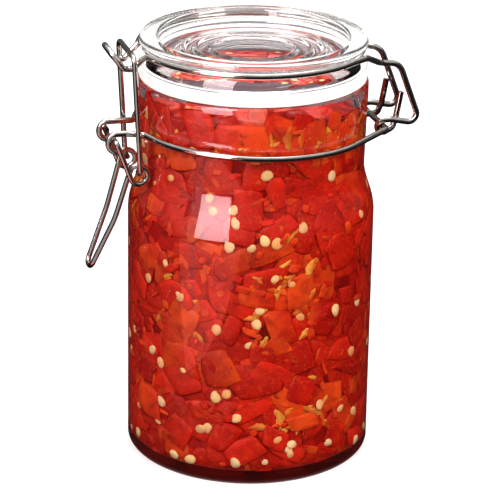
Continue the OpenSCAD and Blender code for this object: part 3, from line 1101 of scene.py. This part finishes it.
def ring_card(name, material, distance, reach, height, rays):
    """A curved studio card round the jar, reach degrees to both sides of the camera."""
    bm = bmesh.new()
    start = round_the_jar(-reach, distance, -2 * MM)
    verts = [bm.verts.new(start), bm.verts.new(start + Vector((0, 0, height)))]
    bmesh.ops.spin(
        bm, geom=verts + [bm.edges.new(verts)], cent=(0, 0, 0), axis=(0, 0, 1),
        angle=math.radians(2 * reach), steps=60, use_merge=False,
    )
    return stage_piece(name, bm, material, rays)


def round_the_jar(angle, distance, height):
    """A point at an angle from the camera's side of the jar, to the right, at a distance in metres."""
    stage = bpy.context.scene.clamp_jar.stage
    a = stage.azimuth - math.pi / 2 + math.radians(angle)
    return Vector((distance * math.cos(a), distance * math.sin(a), height))


def panel_light(name, power, size, place, target):
    """A soft square lamp aimed at a point."""
    lamp = bpy.data.lights.new(name, "AREA")
    lamp.energy = power
    lamp.shape = "SQUARE"
    lamp.size = size
    lamp_object = bpy.data.objects.new(name, lamp)
    bpy.context.scene.collection.objects.link(lamp_object)
    lamp_object.location = place
    lamp_object.rotation_euler = (Vector(target) - Vector(place)).to_track_quat("-Z", "Y").to_euler()
    lamp_object.visible_camera = False
    return lamp_object


class CLAMPJAR_OT_stage(bpy.types.Operator):
    """Set the camera, the pale floor, the white surroundings, lamps and studio cards"""

    bl_idname = "clamp_jar.stage"
    bl_label = "Stage"

    def execute(self, context):
        scene = context.scene
        stage = scene.clamp_jar.stage
        scene.view_settings.view_transform = "Standard"
        eye = bpy.data.cameras.new("camera")
        eye.lens = stage.lens
        eye.sensor_width = 36
        eye.clip_end = 20
        camera = bpy.data.objects.new("camera", eye)
        scene.collection.objects.link(camera)
        camera.location = round_the_jar(0, stage.distance, stage.height)
        camera.rotation_euler = (
            Matrix.Rotation(stage.azimuth, 3, "Z")
            @ Matrix.Rotation(math.pi / 2 - stage.pitch, 3, "X")
            @ Matrix.Rotation(stage.roll, 3, "Z")
        ).to_euler()
        scene.camera = camera

        world = bpy.data.worlds.new("white_room")
        world.use_nodes = True
        world.node_tree.nodes["Background"].inputs["Color"].default_value = (1, 1, 1, 1)
        world.node_tree.nodes["Background"].inputs["Strength"].default_value = stage.sky
        scene.world = world

        board = plain_surface("matt_board", stage.floor, 2)
        disc("floor", board, 4, 0, ("camera", "diffuse", "shadow"))
        disc("dark_table", lit_card("dark_table", stage.table), 2, -1, ("glossy",))
        through = lit_card("grey_surround", 1.0, stage.surround)
        disc("grey_table", through, 2, -2, ("transmission",))
        ring_card("grey_surround", through, 1.5, 180, 1.0, ("transmission",))
        dark = lit_card("dark_flag", stage.flag)
        ring_card("dark_ring", dark, 1.25, 180, 0.2, ("glossy",))
        ring_card("grey_ring", lit_card("grey_ring", stage.haze), 1.3, 180, 0.75, ("glossy",))
        ring_card("dark_flag", dark, 1.2, 112, 0.46, ("glossy",))

        target = (0, 0, 0.08)
        low, high = [stage.box_glow * part for part in BOX_FALL]
        box = fading_card("soft_box", low, high, 0.6, stage.box_tint)
        card("soft_box", box, 0.25, 0.9, round_the_jar(BOX_SIDE, 0.37, 0.48), (0, 0, 0.48), ("glossy",))
        centre = round_the_jar(BOX_SIDE, 0.26, 0)
        image = lit_card("table_glow", stage.table_glow, stage.table_tint)
        card("table_glow", image, 0.2, 0.22, centre, centre + Vector((0, 0, 1)), ("glossy",))
        panel_light("top_panel", stage.top_light, 1.0, (0.1, 0.2, 1.3), target)
        # A black screen beside the latch keeps the soft box out of its wires, and lights them gently
        near, far = Vector((-0.046, -0.036, 0)), Vector((-0.4, -0.125, 0))
        screen = two_sided_card("latch_screen", stage.flag, stage.screen)
        centre = (near + far) / 2 + Vector((0, 0, 0.105))
        card("latch_screen", screen, (far - near).length, 0.13, centre, (0, -1, 0.105), ("glossy",))
        for side in (-45, 50):
            key = panel_light("key_panel", stage.key_light, 0.6, round_the_jar(side, 1.0, 0.6), target)
            key.visible_glossy = False
        return {"FINISHED"}


class CLAMPJAR_PT_panel(bpy.types.Panel):
    """Lists the steps that make the jar"""

    bl_label = "Clip-top Jar"
    bl_idname = "CLAMPJAR_PT_panel"
    bl_space_type = "VIEW_3D"
    bl_region_type = "UI"
    bl_category = "Jar"

    def draw(self, context):
        for step in STEPS:
            self.layout.operator(step.bl_idname)


STEPS = (
    CLAMPJAR_OT_stage,
    CLAMPJAR_OT_glass_jar,
    CLAMPJAR_OT_glass_lid,
    CLAMPJAR_OT_trim,
    CLAMPJAR_OT_relish,
    CLAMPJAR_OT_pepper,
    CLAMPJAR_OT_seeds,
    CLAMPJAR_OT_pith,
)
GROUPS = (
    JarGlassSizes,
    LidGlassSizes,
    TrimSizes,
    RelishSettings,
    StageSettings,
    ClampJarSettings,
)
CLASSES = GROUPS + STEPS + (CLAMPJAR_PT_panel,)


def register():
    for cls in CLASSES:
        bpy.utils.register_class(cls)
    bpy.types.Scene.clamp_jar = PointerProperty(type=ClampJarSettings)


def unregister():
    del bpy.types.Scene.clamp_jar
    for cls in reversed(CLASSES):
        bpy.utils.unregister_class(cls)


def main():
    """Makes the jar in order."""
    register()
    for step in STEPS:
        operator = step.bl_idname.split(".")[1]
        getattr(bpy.ops.clamp_jar, operator)()


if __name__ == "__main__":
    main()
